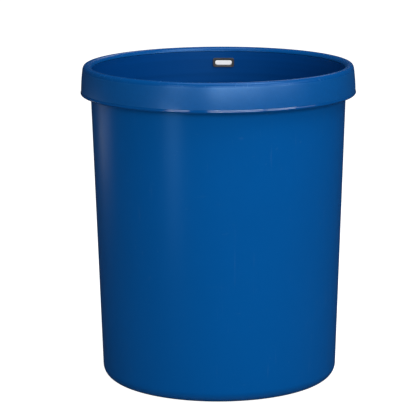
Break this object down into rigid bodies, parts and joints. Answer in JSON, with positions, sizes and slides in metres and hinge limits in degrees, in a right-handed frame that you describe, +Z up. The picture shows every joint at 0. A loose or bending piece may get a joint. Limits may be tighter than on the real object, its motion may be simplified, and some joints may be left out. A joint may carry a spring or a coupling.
{
  "type": "wastebasket",
  "caption": "Round tapered office wastebasket with a deep overhanging rim ring that lifts off, and a small plain badge inside the back wall.",
  "frame": {"origin": "on the floor, under the axis of the round basket", "axes": "+Z up along the axis of the basket, +Y towards the inside wall that carries the badge, +X to the right when the badge is at the back"},
  "size_m": [0.2934, 0.2934, 0.34],
  "materials": {
    "basket_plastic": "satin blue injection-moulded polypropylene, faint turning marks inside",
    "ring_plastic": "blue polypropylene, fine spark-eroded grain on the skirt, smooth top and bead",
    "badge_plastic": "dark grey label plate with a plain pale bar",
    "badge_adhesive": "thin foam adhesive pad"
  },
  "bodies": {
    "basket": {"basket_shell": "basket_plastic", "badge_plate": "badge_plastic", "badge_pad": "badge_adhesive"},
    "ring": {"rim_ring": "ring_plastic"}
  },
  "joints": [
    {"name": "ring_lift", "type": "slide", "parent": "basket", "child": "ring", "axis": [0, 0, 1], "range_m": [0, 0.06]}
  ]
}
